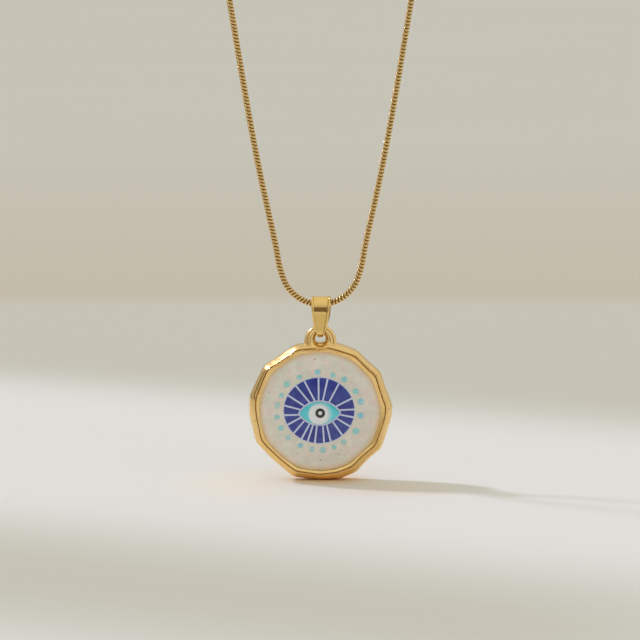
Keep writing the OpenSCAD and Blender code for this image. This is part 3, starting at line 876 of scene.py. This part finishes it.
def mother_of_pearl():
    """Mother-of-pearl, ground flat and polished: a milky grey-beige with soft cloudy growth bands, a
    breath of pink and green, a few brown and bright specks, and a gloss over depth. Its margin is
    warm, where the gilt lip shines into it."""
    material, tree, shader, where = new_material(
        "mother_of_pearl", IOR=1.55, Roughness=0.28, Subsurface_Weight=0.15, Subsurface_Scale=0.0006,
        Coat_Weight=0.35, Coat_Roughness=0.12)
    cloud = add(tree, "TexNoise", {"Scale": per_mm(1.5), "Detail": 6.0, "Roughness": 0.72, "Distortion": 0.6},
                {"Vector": where})
    tint = add(tree, "TexNoise", {"Scale": per_mm(0.9), "Detail": 3.0, "Distortion": 0.8}, {"Vector": where})
    cloud_mask = add(tree, "MapRange", {"From Min": 0.35, "From Max": 0.65}, {"Value": cloud.outputs["Fac"]})
    base = mix_colours(tree, cloud_mask.outputs["Result"], "#FBF6EC", "#E6E1D7")
    for full_at, breath in ((0.72, "#EAF0DC"), (0.28, "#FAE6DC")):
        mask = add(tree, "MapRange", {"From Min": 0.5, "From Max": full_at, "To Max": 0.7},
                   {"Value": tint.outputs["Fac"]})
        base = mix_colours(tree, mask.outputs["Result"], base, breath)
    for x, z, radius, colour in SPECKS:
        speck = near_point(tree, where, (x, FACE_Y, CENTRE_Z + z), 0.4 * radius, radius, low=0.8, high=0.0)
        base = mix_colours(tree, speck, base, colour)
    margin = add(tree, "Attribute", {"attribute_name": "margin"})
    warm = add(tree, "Math", {"operation": "MULTIPLY", 1: 0.85}, {0: margin.outputs["Fac"]})
    base = mix_colours(tree, warm.outputs["Value"], base, "#F0C684")
    tree.links.new(base, shader.inputs["Base Color"])
    return material


def glass_enamel(name, first, second, patch_mm, graded=None, lidded=None):
    """Fired enamel: glass with pigment, even in colour but for slow clouds, with a wet gloss. A
    graded one runs into another colour between two distances from a point in millimetres, and a
    lidded one into another colour within a set depth below the upper lid."""
    material, tree, shader, where = new_material(
        name, IOR=1.5, Roughness=0.22, Coat_Weight=0.3, Coat_Roughness=0.08)
    clouds = add(tree, "TexNoise", {"Scale": per_mm(patch_mm), "Detail": 2.0}, {"Vector": where})
    mask = add(tree, "MapRange", {"From Min": 0.35, "From Max": 0.65}, {"Value": clouds.outputs["Fac"]})
    colour = mix_colours(tree, mask.outputs["Result"], first, second)
    if graded:
        other, (x, z), start, end = graded
        share = near_point(tree, where, (x, FACE_Y, CENTRE_Z + z), start, end)
        colour = mix_colours(tree, share, colour, other)
    if lidded:
        other, depth, strength = lidded
        lid_centre = (EYE_AT[0], FACE_Y, CENTRE_Z + EYE_AT[1] + LID_B - LID_R)
        share = near_point(tree, where, lid_centre, LID_R - depth, LID_R, high=strength)
        colour = mix_colours(tree, share, colour, other)
    tree.links.new(colour, shader.inputs["Base Color"])
    return material


def opal_glass():
    """Opal glass drops, melted on: turquoise to blue, clouded by fine bubbles, paler in the middle,
    and thin enough at the rim for the pearl to show through."""
    material, tree, shader, where = new_material(
        "opal_glass", IOR=1.46, Roughness=0.2, Coat_Weight=0.5, Coat_Roughness=0.06)
    drop = add(tree, "Attribute", {"attribute_name": "drop"})
    parts = add(tree, "SeparateXYZ", None, {0: drop.outputs["Vector"]})
    colour = mix_colours(tree, parts.outputs[0], "#80EADC", "#88D6FA")
    colour = mix_colours(tree, parts.outputs[1], colour, "#D6E8DE")
    bubbles = add(tree, "TexNoise", {"Scale": per_mm(0.3), "Detail": 1.0}, {"Vector": where})
    milky = add(tree, "MapRange", {"From Min": 0.42, "From Max": 0.66, "To Max": 0.7},
                {"Value": bubbles.outputs["Fac"]})
    colour = mix_colours(tree, milky.outputs["Result"], colour, "#BCE4F0")
    middle = add(tree, "MapRange", {"From Min": 0.0, "From Max": 0.45, "To Min": 0.35, "To Max": 0.0},
                 {"Value": parts.outputs[2]})
    colour = mix_colours(tree, middle.outputs["Result"], colour, "#CFF2F4")
    rim = add(tree, "MapRange", {"From Min": 0.62, "From Max": 1.0, "To Max": 0.75},
              {"Value": parts.outputs[2]})
    colour = mix_colours(tree, rim.outputs["Result"], colour, "#E4E6DA")
    tree.links.new(colour, shader.inputs["Base Color"])
    return material


def matt_board():
    """Matt painted board under the pendant, plain and pale, and a little warmer well behind it. Round
    the foot of the pendant it takes the glow that the gilt edge throws on it."""
    material, tree, shader, where = new_material("matt_board", Roughness=0.75, Specular_IOR_Level=0.2)
    cloud = add(tree, "TexNoise", {"Scale": per_mm(120), "Detail": 1.0}, {"Vector": where})
    colour = mix_colours(tree, cloud.outputs["Fac"], "#ECECE5", "#EAEAE2")
    depth = add(tree, "SeparateXYZ", None, {0: where}).outputs[1]
    start, full, hold, end = (y * MM for y in WARM_BOARD)
    near = add(tree, "MapRange", {"From Min": start, "From Max": full}, {"Value": depth})
    far = add(tree, "MapRange", {"From Min": hold, "From Max": end, "To Min": 0.8, "To Max": 0.0},
              {"Value": depth})
    behind = add(tree, "Math", {"operation": "MULTIPLY"},
                 {0: near.outputs["Result"], 1: far.outputs["Result"]})
    colour = mix_colours(tree, behind.outputs["Value"], colour, "#E8DFD0")
    low = CAD_BOX[0].z
    for (x, y), (reach_x, reach_y), strength, tone in BOARD_GLOWS:
        offset = add(tree, "VectorMath", {"operation": "SUBTRACT", 1: (x * MM, y * MM, low)}, {0: where})
        shrink = (per_mm(reach_x), per_mm(reach_y), 0)
        shrunk = add(tree, "VectorMath", {"operation": "MULTIPLY", 1: shrink}, {0: offset.outputs["Vector"]})
        distance = add(tree, "VectorMath", {"operation": "LENGTH"}, {0: shrunk.outputs["Vector"]})
        glow = add(tree, "MapRange", {"To Min": strength, "To Max": 0.0, "interpolation_type": "SMOOTHSTEP"},
                   {"Value": distance.outputs["Value"]})
        colour = mix_colours(tree, glow.outputs["Result"], colour, tone)
    tree.links.new(colour, shader.inputs["Base Color"])
    return material


# Stage

def floor(material):
    """The board, level with the lowest point of the case."""
    reach = FLOOR_REACH * MM
    corners = [(-reach, -reach), (reach, -reach), (reach, reach), (-reach, reach)]
    mesh = bpy.data.meshes.new("floor")
    mesh.from_pydata([(x, y, CAD_BOX[0].z) for x, y in corners], [], [(0, 1, 2, 3)])
    obj = to_object("floor", mesh)
    coat(obj, material)


def window_light():
    """Low light through three panes of a window at the left and a little behind. The first makes a
    soft-edged band across the floor and the long shadow. The others light the floor in front and to
    the left, outside the picture, and show only in the gold."""
    to_light = Vector(TO_WINDOW).normalized()
    aside = Vector((0, 0, 1)).cross(to_light).normalized()
    upward = to_light.cross(aside)
    foot = Vector((0, LIGHT_FOOT_Y, CAD_BOX[0].z))
    for name, width, height, across, up in PANES:
        data = bpy.data.lights.new("pane_" + name, "AREA")
        data.shape, data.size, data.size_y = "RECTANGLE", width, height
        data.spread, data.color = math.radians(PANE_SPREAD), PANE_TONE
        data.energy = PANE_LIGHT * width * height
        lamp = to_object("pane_" + name, data)
        lamp.location = foot + aside * across + upward * up + to_light * PANE_DISTANCE
        lamp.rotation_euler = to_light.to_track_quat("Z", "Y").to_euler()


def room():
    """The pale room: bright overhead, dimmer to the left and the rear, and unlit well in front."""
    world = bpy.data.worlds.new("room")
    world.use_nodes = True
    tree = world.node_tree
    direction = add(tree, "TexCoord").outputs["Generated"]
    parts = add(tree, "SeparateXYZ", None, {0: direction})
    height = add(tree, "MapRange", {"From Min": 0.05, "From Max": 0.75, "interpolation_type": "SMOOTHSTEP"},
                 {"Value": parts.outputs[2]})
    side = add(tree, "MapRange", {"From Min": -1.0, "From Max": 0.8}, {"Value": parts.outputs[0]})
    walls = mix_colours(tree, side.outputs["Result"], "#A8A294", "#DAD8D2")
    colour = mix_colours(tree, height.outputs["Result"], walls, "#E6E4DC")
    away = add(tree, "VectorMath", {"operation": "DISTANCE", 1: UNLIT_WAY}, {0: direction})
    unlit = add(tree, "MapRange", {"From Min": 0.25, "From Max": 0.8, "To Min": 1.0, "To Max": 0.0,
                                   "interpolation_type": "SMOOTHSTEP"}, {"Value": away.outputs["Value"]})
    colour = mix_colours(tree, unlit.outputs["Result"], colour, "#726456")
    rear = add(tree, "MapRange", {"From Min": 0.2, "From Max": 0.8, "To Max": 0.35},
               {"Value": parts.outputs[1]})
    colour = mix_colours(tree, rear.outputs["Result"], colour, "#8E8478")
    background = tree.nodes["Background"]
    background.inputs["Strength"].default_value = 1.0
    tree.links.new(colour, background.inputs["Color"])
    bpy.context.scene.world = world


def camera():
    """The photograph's view: from the front and a little above."""
    data = bpy.data.cameras.new("camera")
    data.sensor_width = 36
    data.lens = data.sensor_width / 2 / math.tan(math.radians(CAMERA_FIELD / 2))
    data.clip_start, data.clip_end = 0.01, 20
    obj = to_object("camera", data)
    tilt = math.radians(CAMERA_TILT)
    back = Vector((0, -math.cos(tilt), math.sin(tilt)))
    obj.location = Vector(CAMERA_TARGET) * MM + back * CAMERA_DISTANCE
    obj.rotation_euler = back.to_track_quat("Z", "Y").to_euler()
    bpy.context.scene.camera = obj


camera()
CHAIN_GOLD = gold_plate("snake_chain_gold", "#FADC98", "#F0CC82", rough=0.22, wave_mm=0.5, wave_um=2,
                        painted_shade="#7A440A", painted_shade_share=0.95)
PRESSED_GOLD = gold_plate("pressed_gold", "#FBDA90", "#F2C872", rough=0.15, wave_mm=0.9, wave_um=4)
CAST_GOLD = gold_plate("cast_gold", "#F9D996", "#F0C676", rough=0.25, wave_mm=0.7, wave_um=9, lacquer=0.6)
chain_pieces(CHAIN_GOLD)
bail(PRESSED_GOLD)
case(CAST_GOLD)
pearl(mother_of_pearl())
enamel({
    "blue_enamel": glass_enamel("cobalt_enamel", "#30389A", "#3E50A8", 1.4),
    "pale_enamel": glass_enamel("pale_enamel", "#D3DEFF", "#DCE6FF", 0.9),
    "turquoise_enamel": glass_enamel(
        "turquoise_enamel", "#5CE0EC", "#68E2F4", 1.2,
        graded=("#A8ECF8", (-0.05, -0.35), 1.85, 1.55), lidded=("#3C9CA6", 0.2, 0.35)),
    "white_enamel": glass_enamel(
        "white_enamel", "#FBFCFF", "#F0FBFF", 0.8,
        graded=("#A4E4F4", (-0.35, -0.35), 1.3, 1.85), lidded=("#70DEEE", 0.6, 0.9)),
    "black_enamel": glass_enamel("black_enamel", "#242523", "#2C2D2A", 0.6),
})
dots(opal_glass())
coat(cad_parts["clasp"], PRESSED_GOLD)

floor(matt_board())
window_light()
room()
bpy.context.scene.view_settings.view_transform = "Standard"
